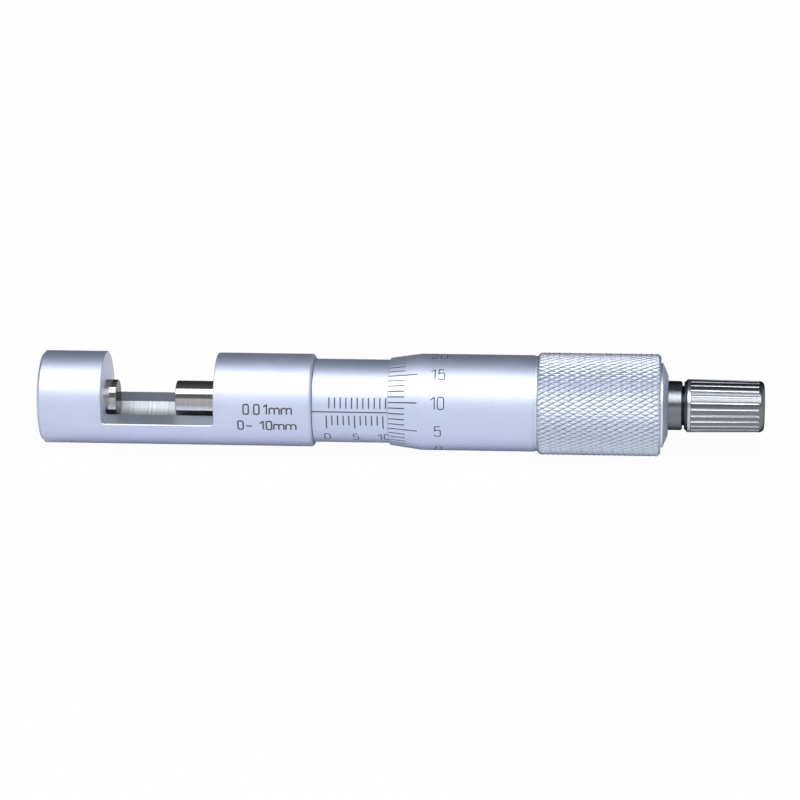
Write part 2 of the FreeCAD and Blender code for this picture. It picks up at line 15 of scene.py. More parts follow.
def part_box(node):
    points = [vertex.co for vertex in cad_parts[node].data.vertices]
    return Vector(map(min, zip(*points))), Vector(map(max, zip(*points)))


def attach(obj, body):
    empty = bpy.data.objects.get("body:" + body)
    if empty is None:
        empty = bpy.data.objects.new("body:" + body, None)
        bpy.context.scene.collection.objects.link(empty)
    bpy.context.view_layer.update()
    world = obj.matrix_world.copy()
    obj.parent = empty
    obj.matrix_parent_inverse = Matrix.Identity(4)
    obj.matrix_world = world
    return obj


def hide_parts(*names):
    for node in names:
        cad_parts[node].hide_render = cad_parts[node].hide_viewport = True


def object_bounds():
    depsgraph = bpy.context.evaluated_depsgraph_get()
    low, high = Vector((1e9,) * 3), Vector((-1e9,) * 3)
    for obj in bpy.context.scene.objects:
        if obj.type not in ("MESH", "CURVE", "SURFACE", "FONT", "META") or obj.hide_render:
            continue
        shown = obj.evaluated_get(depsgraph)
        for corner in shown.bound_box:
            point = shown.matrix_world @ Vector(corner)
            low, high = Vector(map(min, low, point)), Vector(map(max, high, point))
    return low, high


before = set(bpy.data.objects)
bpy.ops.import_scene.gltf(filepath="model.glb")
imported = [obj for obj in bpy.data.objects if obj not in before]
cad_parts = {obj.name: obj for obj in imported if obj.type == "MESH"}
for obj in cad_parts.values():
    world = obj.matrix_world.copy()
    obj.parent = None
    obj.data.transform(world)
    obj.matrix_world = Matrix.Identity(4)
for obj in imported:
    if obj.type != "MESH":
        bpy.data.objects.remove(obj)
cad_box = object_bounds()
MM = 0.001

# %% [markdown]
# ## The camera
# The photograph was taken from a little above, with a long lens, and the instrument runs very
# slightly downhill to the right. A direction, a distance and a roll say all of that, so the camera
# is placed by those three instead of by hand.

# %% Place the camera
CAMERA_AZIMUTH = 4.8
CAMERA_ELEVATION = 21.5
CAMERA_ROLL = -0.91
CAMERA_RIGHT = -0.27
CAMERA_UP = 0.25
CAMERA_DISTANCE = 612
CAMERA_LENS = 155
SENSOR_WIDTH = 36

across = math.radians(CAMERA_AZIMUTH)
above = math.radians(CAMERA_ELEVATION)
towards_camera = Vector(
    (math.sin(across) * math.cos(above), -math.cos(across) * math.cos(above), math.sin(above))
)
middle_of_part = Vector(((cad_box[0][0] + cad_box[1][0]) / 2, 0, 0))
camera = bpy.data.objects.new("camera", bpy.data.cameras.new("camera"))
camera.data.sensor_width = SENSOR_WIDTH
camera.data.lens = CAMERA_LENS
upright = towards_camera.to_track_quat("Z", "Y").to_matrix()
stand = upright @ Vector((CAMERA_RIGHT, CAMERA_UP, CAMERA_DISTANCE))
camera.location = middle_of_part + stand * MM
camera.rotation_euler = (upright @ Matrix.Rotation(math.radians(CAMERA_ROLL), 3, "Z")).to_euler()
bpy.context.scene.collection.objects.link(camera)
bpy.context.scene.camera = camera
print("camera", round(CAMERA_DISTANCE), "mm away, lens", CAMERA_LENS, "mm")

# %% [markdown]
# ## Shared effects
# Turned and ground metal is never one even tone. Three things break it up: a fine grain from the
# blasting or grinding, rings left by the tool that turned it, and soft smudges where hands and oil
# have been. They are the same effects on every metal here, only stronger or weaker, so they live in
# one node group and each material places it with its own values.

# %% Build the group of surface effects
GRAIN_SCALE = 6000.0
RING_SCALE = 9000.0
SMUDGE_SCALE = 60.0
RING_DETAIL = 3
CLOUD_DETAIL = {"Grain": 2, "Smudge": 4}


def surface_effects():
    """Grain, tool rings and smudges, as values between 0 and 1, from the place on the object."""
    group = bpy.data.node_groups.new("surface_effects", "ShaderNodeTree")
    scales = {"Grain Scale": GRAIN_SCALE, "Ring Scale": RING_SCALE, "Smudge Scale": SMUDGE_SCALE}
    for name, value in scales.items():
        socket = group.interface.new_socket(name, in_out="INPUT", socket_type="NodeSocketFloat")
        socket.default_value = value
    for name in ("Grain", "Rings", "Smudge"):
        group.interface.new_socket(name, in_out="OUTPUT", socket_type="NodeSocketFloat")
    nodes = group.nodes
    links = group.links
    inputs = nodes.new("NodeGroupInput")
    outputs = nodes.new("NodeGroupOutput")
    place = nodes.new("ShaderNodeTexCoord").outputs["Object"]
    split = nodes.new("ShaderNodeSeparateXYZ")
    links.new(place, split.inputs[0])
    rings = nodes.new("ShaderNodeTexNoise")
    rings.noise_dimensions = "1D"
    rings.inputs["Detail"].default_value = RING_DETAIL
    links.new(split.outputs["X"], rings.inputs["W"])
    links.new(inputs.outputs["Ring Scale"], rings.inputs["Scale"])
    links.new(rings.outputs[0], outputs.inputs["Rings"])
    for name, detail in CLOUD_DETAIL.items():
        cloud = nodes.new("ShaderNodeTexNoise")
        cloud.inputs["Detail"].default_value = detail
        links.new(place, cloud.inputs["Vector"])
        links.new(inputs.outputs[f"{name} Scale"], cloud.inputs["Scale"])
        links.new(cloud.outputs[0], outputs.inputs[name])
    return group


effects = surface_effects()
print("effects:", [item.name for item in effects.interface.items_tree])

# %% [markdown]
# ## What a metal is
# A metal in the Principled shader is a base colour, which is the colour of its reflection, and a
# roughness, which says how blurred that reflection is. Specular Tint sets how much is left at a
# glancing angle. Grain and rings go to the bump. Smudges go to the roughness and, unless the metal
# has streaks from the tool, to the colour. One function does all this, because the metals differ
# only in their numbers.

# %% Write a function for a metal
BUMP_HEIGHT = 0.01
DULL = 0.96
FINE = (GRAIN_SCALE, RING_SCALE)
COARSE = (5000.0, 2600.0)


def metal(name, colour, roughness, rim, grain=0, rings=0, smudge=0.03, scales=FINE, streaks=0):
    """A metal: its colour, its blur, its tone at the rim, and how strong each effect is."""
    material = bpy.data.materials.new(name)
    material.use_nodes = True
    nodes = material.node_tree.nodes
    links = material.node_tree.links
    shader = nodes["Principled BSDF"]
    shader.inputs["Metallic"].default_value = 1
    shader.inputs["Specular Tint"].default_value = (*rim, 1)
    marks = nodes.new("ShaderNodeGroup")
    marks.node_tree = effects
    marks.inputs["Grain Scale"].default_value = scales[0]
    marks.inputs["Ring Scale"].default_value = scales[1]
    dull = DULL - streaks
    tone = nodes.new("ShaderNodeMix")
    tone.data_type = "RGBA"
    tone.inputs["A"].default_value = (*(part * dull for part in colour), 1)
    tone.inputs["B"].default_value = (*(min(1, part / dull) for part in colour), 1)
    links.new(marks.outputs["Rings" if streaks else "Smudge"], tone.inputs["Factor"])
    links.new(tone.outputs["Result"], shader.inputs["Base Color"])
    blur = nodes.new("ShaderNodeMapRange")
    blur.inputs["To Min"].default_value = roughness - smudge
    blur.inputs["To Max"].default_value = roughness + smudge
    links.new(marks.outputs["Smudge"], blur.inputs["Value"])
    links.new(blur.outputs[0], shader.inputs["Roughness"])
    parts = []
    for effect, strength in (("Grain", grain), ("Rings", rings)):
        part = nodes.new("ShaderNodeMath")
        part.operation = "MULTIPLY"
        part.inputs[1].default_value = strength
        links.new(marks.outputs[effect], part.inputs[0])
        parts.append(part)
    height = nodes.new("ShaderNodeMath")
    links.new(parts[0].outputs[0], height.inputs[0])
    links.new(parts[1].outputs[0], height.inputs[1])
    bump = nodes.new("ShaderNodeBump")
    bump.inputs["Distance"].default_value = BUMP_HEIGHT * MM
    links.new(height.outputs[0], bump.inputs["Height"])
    links.new(bump.outputs[0], shader.inputs["Normal"])
    return material


print("a metal's bump is", BUMP_HEIGHT, "mm high")

# %% [markdown]
# ## Mixing the metals
# Satin chrome is pale, a little blue and well blurred, and dark at its rims; a ground pin is almost
# a mirror. The notch was cut after the chrome, so its floor, its channel and its end wall show tool
# marks, and the end wall, which we see at a glancing angle, gets a paler copy of the cut finish, a
# painted highlight. The ratchet is darker turned steel, worn at its rim, with a painted highlight
# on its rim and flutes, and painted near black as shade in its gaps. Each finish is one call.

# %% Mix the metals
satin_chrome = metal("satin_chrome", (0.65, 0.712, 0.90), 0.5, rim=(0.02, 0.03, 0.05), grain=5.0)
cut_chrome = metal(
    "cut_chrome", (0.68, 0.755, 0.86), 0.5, rim=(0.5, 0.52, 0.55),
    grain=1.5, rings=1.0, scales=COARSE, streaks=0.05,
)
# A paler copy of the cut finish for the notch's end wall: painted light.
lit_wall_chrome = metal(
    "lit_wall_chrome", (0.76, 0.775, 0.86), 0.53, rim=(0.85, 0.87, 0.95),
    grain=1.5, rings=1.0, scales=COARSE, streaks=0.05,
)
# A paler chrome for the rim of the thimble's domed end: a painted highlight.
highlight_chrome = metal("highlight_chrome", (0.95, 0.96, 1.0), 0.4, rim=(1.0, 1.0, 1.0), grain=0.6)
bored_steel = metal(
    "bored_steel", (0.46, 0.48, 0.51), 0.58, rim=(0.25, 0.25, 0.25),
    grain=1.0, rings=4.0, scales=COARSE, streaks=0.32,
)
ground_steel = metal(
    "ground_steel", (0.42, 0.405, 0.40), 0.09, rim=(0.5, 0.5, 0.5),
    rings=1.0, smudge=0.02, scales=COARSE, streaks=0.1,
)
bright_steel = metal(
    "bright_steel", (0.215, 0.228, 0.25), 0.2, rim=(0.1, 0.1, 0.1),
    grain=2.0, rings=0.4, smudge=0.04,
)
# A paler steel: wear on the knob's rim, and a painted highlight on the rim and the flutes' lower
# sides.
wear_and_highlight = metal(
    "wear_and_highlight", (0.62, 0.63, 0.66), 0.25, rim=(0.5, 0.5, 0.5), grain=0.3, smudge=0.04
)
# Near black steel: painted shade in the gap at the neck's journal and in the groove behind the
# knob's rim.
shade_steel = metal(
    "shade_steel", (0.03, 0.03, 0.033), 0.3, rim=(0.2, 0.2, 0.2), rings=0.4, smudge=0.04
)
inner_steel = metal(
    "inner_steel", (0.45, 0.45, 0.47), 0.32, rim=(0.6, 0.6, 0.6), rings=0.5, smudge=0.02
)
spring_steel = metal(
    "spring_steel", (0.35, 0.35, 0.38), 0.25, rim=(0.6, 0.6, 0.6), rings=0.2, smudge=0.02
)
print("metals:", [m.name for m in bpy.data.materials if m.use_nodes])

# %% [markdown]
# ## Paint in the scales
# The lines and figures are cut or etched and filled with a dark paint. It is no metal, so it needs
# only a dark colour and a high roughness, and the grain keeps its tone from being quite even.

# %% Mix the paint
DARKEST_PAINT = 0.045
LIGHTEST_PAINT = 0.085
PAINT_ROUGHNESS = 0.65


def scale_paint():
    """Matt dark grey paint with an uneven tone."""
    material = bpy.data.materials.new("scale_paint")
    material.use_nodes = True
    nodes = material.node_tree.nodes
    links = material.node_tree.links
    shader = nodes["Principled BSDF"]
    marks = nodes.new("ShaderNodeGroup")
    marks.node_tree = effects
    tone = nodes.new("ShaderNodeMapRange")
    tone.inputs["To Min"].default_value = DARKEST_PAINT
    tone.inputs["To Max"].default_value = LIGHTEST_PAINT
    links.new(marks.outputs["Grain"], tone.inputs["Value"])
    links.new(tone.outputs[0], shader.inputs["Base Color"])
    shader.inputs["Roughness"].default_value = PAINT_ROUGHNESS
    return material


paint = scale_paint()
print("paint:", paint.name)

# %% [markdown]
# ## Turning shapes
# Nearly everything here came off a lathe, so nearly everything is an outline spun about the X
# axis. The outline is a list of corners in millimetres, along the axis and out from it, and a
# corner that names a radius is rounded by an arc. A cylinder with a Bevel modifier would do for one
# piece, but an outline says a whole turned part in one list.

# %% Round the corners of an outline
ARC_STEPS = 5


def rounded(outline):
    """The places of an outline, with an arc wherever a corner names a radius."""
    places = []
    for number, (x, radius, *rounding) in enumerate(outline):
        corner = Vector((x, radius))
        if not rounding:
            places.append(corner)
            continue
        following = outline[(number + 1) % len(outline)]
        before = (Vector(outline[number - 1][:2]) - corner).normalized()
        after = (Vector(following[:2]) - corner).normalized()
        opening = before.angle(after) / 2
        centre = corner + (before + after).normalized() * rounding[0] / math.sin(opening)
        start = corner + before * rounding[0] / math.tan(opening) - centre
        end = corner + after * rounding[0] / math.tan(opening) - centre
        for step in range(ARC_STEPS + 1):
            arm = start.lerp(end, step / ARC_STEPS).normalized()
            places.append(centre + arm * rounding[0])
    return places


print("corners of a rounded square:", len(rounded([(0, 0, 1), (4, 0, 1), (4, 4, 1), (0, 4, 1)])))

# %% [markdown]
# The spin goes in steps that we choose, not in equal ones: a scale needs a row of places at both
# sides of each of its lines. A list of stops, in degrees, says where the rows are.

# %% Write the lathe
SMOOTH_STEP = 2.0
MERGE = 1e-7


def turned(outline, stops):
    """Spin an outline about the X axis with a row of places at each stop, in degrees."""
    form = bmesh.new()
    places = rounded(outline)
    points = [form.verts.new((place.x * MM, -place.y * MM, 0)) for place in places]
    pairs = zip(points, points[1:] + points[:1])
    on_axis = {point for point, place in zip(points, places) if place.y == 0}
    edges = [form.edges.new(pair) for pair in pairs if not on_axis.issuperset(pair)]
    bmesh.ops.rotate(
        form, verts=points, cent=(0, 0, 0), matrix=Matrix.Rotation(math.radians(-stops[0]), 3, "X")
    )
    row = points + edges
    for stop, following in zip(stops, stops[1:] + [stops[0] + 360]):
        swept = bmesh.ops.spin(
            form,
            geom=row,
            cent=(0, 0, 0),
            axis=(-1, 0, 0),
            angle=math.radians(following - stop),
            steps=1,
            use_merge=False,
            use_duplicate=False,
        )
        row = swept["geom_last"]
    bmesh.ops.remove_doubles(form, verts=form.verts, dist=MERGE)
    bmesh.ops.recalc_face_normals(form, faces=form.faces)
    return form


def stops_through(borders, step=SMOOTH_STEP):
    """Stops round a full turn that include these borders and lie about a step apart."""
    borders = sorted(borders)
    stops = []
    for border, following in zip(borders, borders[1:] + [borders[0] + 360]):
        count = max(1, round((following - border) / step))
        stops += [border + (following - border) * number / count for number in range(count)]
    return stops


print("stops round a full turn:", len(stops_through([0])))

# %% [markdown]
# ## From a shape to a piece
# A finished bmesh becomes a mesh with its materials. Its shading is smooth, apart from edges that
# are sharper than a crease. Then it is told which body it rides on and which CAD nodes it replaces.
# The count of open edges shows at once whether it is closed.

# %% Write the helper that shows a piece
CREASE = math.radians(20)


def open_edges(form):
    """How many edges don't join exactly two faces, which is none on a closed shape."""
    return sum(len(edge.link_faces) != 2 for edge in form.edges)


def show(name, form, body, slot, materials, *nodes, crease=CREASE):
    """Make a finished shape a piece of the scene, in place of some CAD nodes."""
    mesh = bpy.data.meshes.new(name)
    print(name, len(form.faces), "faces,", open_edges(form), "open edges")
    form.to_mesh(mesh)
    form.free()
    mesh.shade_smooth()
    mesh.set_sharp_from_angle(angle=crease)
    for material in materials:
        mesh.materials.append(material)
    piece = bpy.data.objects.new(name, mesh)
    bpy.context.scene.collection.objects.link(piece)
    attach(piece, body)
    if nodes:
        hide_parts(*nodes)
    return piece


print("edges are sharp beyond", round(math.degrees(CREASE)), "degrees")

# %% [markdown]
# ## Places on a round part
# On a round part a place is best told by how far it is from the axis and by its angle. We count the
# angle from the side that faces the camera, and upwards.

# %% Measure and move by distance and angle
def height_angle(place):
    """How far a place stands above the near side, in degrees about the axis."""
    return math.degrees(math.atan2(place.z, -place.y))


def from_axis(place):
    """How far a place is from the axis, in the place's own unit."""
    return math.hypot(place.y, place.z)


def move_to(vert, reach):
    """Move a point straight out or in, to a distance from the axis in millimetres."""
    share = reach * MM / from_axis(vert.co)
    vert.co.y *= share
    vert.co.z *= share


def arc_angle(length, radius):
    """The angle of an arc of this length, in degrees."""
    return math.degrees(length / radius)


print("the top of the part is at", height_angle(Vector((0, 0, 1))), "degrees")

# %% [markdown]
# ## Engraving
# A scale line is a shallow groove. The outline and the stops of a scale already have a place at
# each border of each line, so the line is a patch of faces. An extrude makes a sunk copy of the
# patch with walls round it. We delete the old faces above it and give the new floor the paint. A
# boolean would cut the same groove, but it leaves a poorer mesh.

# %% Write the graver
PAINTED = 1


def engraved(form, wanted, depth):
    """Push in the faces whose centres a test picks out, and paint their floors."""
    patch = [face for face in form.faces if wanted(face.calc_center_median())]
    sunk = bmesh.ops.extrude_face_region(form, geom=patch)["geom"]
    for vert in sunk:
        if isinstance(vert, bmesh.types.BMVert):
            move_to(vert, from_axis(vert.co) / MM - depth)
    floors = [item for item in sunk if isinstance(item, bmesh.types.BMFace)]
    for face in floors:
        face.material_index = PAINTED
    bmesh.ops.delete(form, geom=patch, context="FACES")
    print("engraved", len(floors), "faces")


print("floors take material number", PAINTED, "of their piece")

# %% [markdown]
# ## The tube frame
# The frame has a milled notch, a bore and a heel, and the CAD solid already has all of them. A CAD
# node comes in as loose triangles, which look flat, so we work on a copy: we merge its doubles,
# dissolve the flat triangles into whole faces, bevel the hard edges a little so that they catch the
# light, and shade it smooth. The same treatment suits every piece whose form is complete in CAD.

# %% Write the smooth copy
FLAT = math.radians(0.6)
EDGE = 0.03
NECK_EDGE = 0.05


def smooth_copy(node, edge_radius=EDGE):
    """A merged copy of a CAD node with softly broken edges."""
    form = bmesh.new()
    form.from_mesh(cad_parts[node].data)
    bmesh.ops.remove_doubles(form, verts=form.verts, dist=MERGE)
    bmesh.ops.dissolve_limit(form, angle_limit=FLAT, verts=form.verts, edges=form.edges)
    hard = [e for e in form.edges if len(e.link_faces) == 2 and e.calc_face_angle() > CREASE]
    bmesh.ops.bevel(
        form,
        geom=hard,
        offset=edge_radius * MM,
        affect="EDGES",
        segments=1,
        profile=0.5,
        material=-1,
        clamp_overlap=True,
    )
    return form


print("hard edges are broken by", EDGE, "mm, the neck's by", NECK_EDGE, "mm")

# %% [markdown]
# The frame has one skin outside, and three where cutters went through it: the flat floor of the
# notch, the bored channel in that floor, and the end wall. The centre of a face and its normal say
# which it is, so the mesh needs no seams or painted masks.

# %% Show the tube frame
NOTCH_FROM = -2.05
NOTCH_TO = 18.05
OUTER_SKIN = 8.1
BORED_SKIN = 3.88
END_WALL_FACING = 0.9
CUT, BORED, LIT_END_WALL = 1, 2, 3


def cut_faces(form):
    """Give the notch's floor and channel the finishes that the cutters left, and the end wall
    painted light.
    """
    for face in form.faces:
        place = face.calc_center_median() / MM
        if from_axis(place) >= OUTER_SKIN or not NOTCH_FROM < place.x < NOTCH_TO:
            continue
        # The end wall takes the paler copy of the cut finish, which paints light on it.
        if face.normal.x > END_WALL_FACING:
            face.material_index = LIT_END_WALL
        else:
            face.material_index = BORED if from_axis(place) < BORED_SKIN else CUT
    return form


show(
    "tube_frame", cut_faces(smooth_copy("body")), "frame", "satin_chrome",
    [satin_chrome, cut_chrome, bored_steel, lit_wall_chrome], "body",
)

# %% [markdown]
# ## Pins, neck and screw
# The two pins are ground, and the ratchet's neck and screw are turned. Behind the neck is the
# journal that the knob runs on. It is painted near black, a painted shade, which makes the dark
# line between neck and knob.

# %% Show the other complete pieces
JOURNAL_SKIN = 3.7
# The slot of the near black steel that paints shade on the journal.
JOURNAL_SHADE = 1


def oiled_journal(form):
    """Paint the journal and all else that is thinner near black, as shade."""
    for face in form.faces:
        if from_axis(face.calc_center_median() / MM) < JOURNAL_SKIN:
            face.material_index = JOURNAL_SHADE
    return form


show("anvil_pin", smooth_copy("anvil"), "frame", "ground_steel", [ground_steel], "anvil")
show(
    "spindle_pin", smooth_copy("spindle"), "thimble_set", "ground_steel",
    [ground_steel], "spindle",
)
show(
    "neck", oiled_journal(smooth_copy("ratchet_base", NECK_EDGE)), "thimble_set", "bright_steel",
    [bright_steel, shade_steel], "ratchet_base",
)
show(
    "knob_screw", smooth_copy("ratchet_screw"), "thimble_set", "bright_steel",
    [bright_steel], "ratchet_screw",
)

# %% [markdown]
# ## The parts inside
# The guide sleeve, its nut, the ratchet's disc, spring and washer hardly show, so their CAD shapes
# stay as they are. They only get the finish of turned and of drawn steel on their material slots.

# %% Finish the inner parts
INSIDE = {
    "inner_sleeve": inner_steel,
    "adjusting_nut": inner_steel,
    "ratchet_disc": inner_steel,
    "ratchet_washer": inner_steel,
    "ratchet_spring": spring_steel,
}
for node, material in INSIDE.items():
    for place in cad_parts[node].material_slots:
        place.material = material
    print(node, "gets", material.name)

# %% [markdown]
# ## The sleeve and its scale
# The sleeve is a thin tube with the index line along it, a millimetre scale below the line and the
# half millimetres above. Its box in the frame gives both ends. First we list the lines, since the
# outline and the stops both need their borders.

# %% List the lines of the main scale
INDEX_ANGLE = 5.5
SLEEVE_RADIUS = 7.4
SLEEVE_BORE = 6.37
MARK_WIDTH = 0.22
MARK_DEPTH = 0.06
ZERO_OFFSET = 2.65
SCALE_MARKS = 11
LONG_EVERY = 5
HALF_STEP = 0.5
MARK_FREE = 0.65
MARK_SHORT = 1.95
MARK_LONG = 2.7
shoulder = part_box("body")[1].x / MM
sleeve_start, sleeve_end = (corner.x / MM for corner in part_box("sleeve"))


def sleeve_marks():
    """Each line of the main scale, as its place along X and its lowest and highest angle."""
    near = arc_angle(MARK_FREE, SLEEVE_RADIUS)
    short = arc_angle(MARK_SHORT, SLEEVE_RADIUS)
    long = arc_angle(MARK_LONG, SLEEVE_RADIUS)
    marks = []
    for number in range(SCALE_MARKS):
        x = shoulder + ZERO_OFFSET + number
        length = short if number % LONG_EVERY else long
        marks.append((x, INDEX_ANGLE - near - length, INDEX_ANGLE - near))
        marks.append((x + HALF_STEP, INDEX_ANGLE + near, INDEX_ANGLE + near + short))
    return marks


marks = sleeve_marks()
print("main scale:", len(marks), "lines from", round(marks[0][0], 2), "mm")

# %% [markdown]
# The tube is turned with a place at each border, and the graver sinks the faces between them. The
# bore has faces at the same angles, so the test looks at the outer skin alone.

# %% Turn and engrave the sleeve
SKIN_DEPTH = 0.02


def make_sleeve():
    """Tube with the grooves of the index line and of the main scale."""
    half = MARK_WIDTH / 2
    half_line = arc_angle(half, SLEEVE_RADIUS)
    borders = sorted([x - half for x, *_ in marks] + [x + half for x, *_ in marks])
    outline = [(sleeve_start, SLEEVE_BORE), (sleeve_start, SLEEVE_RADIUS)]
    outline += [(x, SLEEVE_RADIUS) for x in borders]
    outline += [(sleeve_end, SLEEVE_RADIUS), (sleeve_end, SLEEVE_BORE)]
    angles = {INDEX_ANGLE - half_line, INDEX_ANGLE + half_line}
    for _, lowest, highest in marks:
        angles |= {round(lowest, 4), round(highest, 4)}
    form = turned(outline, stops_through(angles))

    def in_scale(place):
        if from_axis(place) < (SLEEVE_RADIUS - SKIN_DEPTH) * MM:
            return False
        angle = height_angle(place)
        if abs(angle - INDEX_ANGLE) < half_line:
            return True
        x = place.x / MM
        return any(abs(x - at) < half and low < angle < high for at, low, high in marks)

    engraved(form, in_scale, MARK_DEPTH)
    return form


sleeve_tube = show(
    "scale_sleeve_tube", make_sleeve(), "scale_sleeve", "satin_chrome",
    [satin_chrome, paint], "sleeve",
)

# %% [markdown]
# ## The spanner hole
# At the back of the sleeve is a small hole for the hook spanner that sets zero. A boolean with a
# short round cutter makes it. We take the result's mesh and remove the cutter, so nothing is left
# that isn't part of the object.

# %% Drill the spanner hole
HOLE_FROM_SHOULDER = 3.5
HOLE_ANGLE = INDEX_ANGLE + 180
HOLE_RADIUS = 0.65
HOLE_SIDES = 32
HOLE_DEPTH = 0.7
CUTTER_LENGTH = 2.0


def drill(piece):
    """Cut the spanner hole into a piece."""
    form = bmesh.new()
    turn = math.radians(HOLE_ANGLE)
    outwards = Vector((0, -math.cos(turn), math.sin(turn)))
    middle = outwards * (SLEEVE_RADIUS - HOLE_DEPTH + CUTTER_LENGTH / 2)
    middle.x = shoulder + HOLE_FROM_SHOULDER
    place = Matrix.Translation(middle * MM) @ outwards.to_track_quat("Z", "X").to_matrix().to_4x4()
    bmesh.ops.create_cone(
        form, cap_ends=True, segments=HOLE_SIDES, radius1=HOLE_RADIUS * MM,
        radius2=HOLE_RADIUS * MM, depth=CUTTER_LENGTH * MM, matrix=place,
    )
    bit_mesh = bpy.data.meshes.new("bit")
    form.to_mesh(bit_mesh)
    form.free()
    bit = bpy.data.objects.new("bit", bit_mesh)
    bpy.context.scene.collection.objects.link(bit)
    cut = piece.modifiers.new("hole", "BOOLEAN")
    cut.operation = "DIFFERENCE"
    cut.solver = "EXACT"
    cut.object = bit
    bpy.context.view_layer.update()
    ready = piece.evaluated_get(bpy.context.evaluated_depsgraph_get())
    drilled = bpy.data.meshes.new_from_object(ready)
    piece.modifiers.clear()
    piece.data = drilled
    bpy.data.objects.remove(bit)
    print("drilled", len(drilled.polygons), "faces")


drill(sleeve_tube)

# %% [markdown]
# ## The thimble
# The thimble's bevel carries fifty divisions for one turn. Each division has stops of its own at
# its two sides, and the outline has places where the short and the long lines end. The angle of
# the zero line follows from the reading that the photograph shows.

# %% Measure the thimble
DIVISIONS = 50
NUMBERED_EVERY = 5
DIVISION_SHORT = 3.4
DIVISION_LONG = 5.6
READING = 8
SMOOTH_LENGTH = 26.6
GRIP_LENGTH = 21.65
front, thimble_end = (corner.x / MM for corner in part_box("thimble"))
grip_start = front + SMOOTH_LENGTH
grip_end = grip_start + GRIP_LENGTH
zero_angle = INDEX_ANGLE - READING * 360 / DIVISIONS
print("thimble from", round(front, 2), "to", round(thimble_end, 2), "mm")

# %% [markdown]
# The bevel is a straight slope from the lip up to the barrel. The lines end on it, so we need its
# radius at any distance from the front edge.

# %% Measure the bevel
LIP_RADIUS = 7.76
LIP_LENGTH = 0.5
CONE_LENGTH = 6.0
BARREL_RADIUS = 8.55


def bevel_radius(x):
    """Radius of the thimble's bevel at a distance from its front edge."""
    share = (x - LIP_LENGTH) / (CONE_LENGTH - LIP_LENGTH)
    return LIP_RADIUS + (BARREL_RADIUS - LIP_RADIUS) * share


print("where the long lines end the radius is", round(bevel_radius(DIVISION_LONG), 2), "mm")

# %% [markdown]
# The outline starts at the lip, goes over the bevel, the barrel, the part under the grip and the
# domed end, and comes back through the hub and its taper seat. Two rows close beside the end of the
# bevel keep that edge crisp, because shading is smoothed only between one row and the next.

# %% Draw the thimble's outline
BORE_RADIUS = 7.48
LIP_BACK = 0.4
LIP_DROP = 0.12
NECK_WIDTH = 0.6
NECK_DEPTH = 0.12
GRIP_STEP = 0.1
UNDER_GRIP = 8.4
DOME_TOP = 7.5
DOME_FLAT = 5.2
DOME_RIM = 0.35
DOME_ROUND = 1.2
STUD_HOLE = 2.3
HUB_START = 36.1
HUB_END = 47.9
SEAT_START = 37.6
SEAT_END = 47.6
SEAT_LARGE = 4.51
SEAT_SMALL = 4.01
CRISP = 0.05
SMALL_ROUND = 0.1


def thimble_outline():
    """Places along the axis, counted from the front edge, and their distances from the axis."""
    grip = SMOOTH_LENGTH + GRIP_LENGTH
    return [
        (LIP_BACK, BORE_RADIUS),
        (LIP_BACK, LIP_RADIUS - LIP_DROP),
        (LIP_LENGTH, LIP_RADIUS),
        (DIVISION_SHORT, bevel_radius(DIVISION_SHORT)),
        (DIVISION_LONG, bevel_radius(DIVISION_LONG)),
        (CONE_LENGTH - CRISP, bevel_radius(CONE_LENGTH - CRISP)),
        (CONE_LENGTH, BARREL_RADIUS),
        (CONE_LENGTH + CRISP, BARREL_RADIUS),
        (SMOOTH_LENGTH - NECK_WIDTH, BARREL_RADIUS, CRISP),
        (SMOOTH_LENGTH - NECK_WIDTH, BARREL_RADIUS - NECK_DEPTH),
        (SMOOTH_LENGTH, BARREL_RADIUS - NECK_DEPTH),
        (SMOOTH_LENGTH, UNDER_GRIP),
        (grip - GRIP_STEP, UNDER_GRIP),
        (grip - GRIP_STEP, DOME_TOP),
        (grip + DOME_RIM, DOME_TOP, SMALL_ROUND),
        (thimble_end - front, DOME_FLAT, DOME_ROUND),
        (thimble_end - front, STUD_HOLE, SMALL_ROUND),
        (HUB_END, STUD_HOLE),
        (HUB_END, SEAT_SMALL),
        (SEAT_END, SEAT_SMALL),
        (SEAT_START, SEAT_LARGE),
        (HUB_START, SEAT_LARGE),
        (HUB_START, BORE_RADIUS),
    ]


print("the thimble's outline has", len(thimble_outline()), "corners")

# %% [markdown]
# The stops are the borders of all fifty lines, with others between them. Every fifth line is long.
# The rim of the domed end gets a paler, less blurred chrome than the satin: a painted highlight.

# %% Turn and engrave the thimble
THIMBLE_STEP = 1.6
RIM_MARGIN = 0.05
HIGHLIGHT_RIM = 2


def make_thimble():
    """Thimble body with its divisions, the part under the grip and the domed end."""
    pitch = 360 / DIVISIONS
    half_line = arc_angle(MARK_WIDTH / 2, (LIP_RADIUS + BARREL_RADIUS) / 2)
    centres = [zero_angle + number * pitch for number in range(DIVISIONS)]
    borders = [c - half_line for c in centres] + [c + half_line for c in centres]
    outline = [(front + x, *rest) for x, *rest in thimble_outline()]
    form = turned(outline, stops_through(borders, THIMBLE_STEP))

    def in_division(place):
        turns = (height_angle(place) - zero_angle) / pitch
        number = round(turns)
        if abs(turns - number) * pitch > half_line:
            return False
        end = DIVISION_SHORT if number % NUMBERED_EVERY else DIVISION_LONG
        return LIP_LENGTH < place.x / MM - front < end

    engraved(form, in_division, MARK_DEPTH)
    return form


def pale_rim(form):
    """Paint a highlight on the rim of the domed end with a paler chrome."""
    for face in form.faces:
        place = face.calc_center_median() / MM
        at_rim = grip_end - GRIP_STEP < place.x < grip_end + DOME_RIM + RIM_MARGIN
        if at_rim and from_axis(place) > DOME_TOP - SMALL_ROUND:
            face.material_index = HIGHLIGHT_RIM
    return form


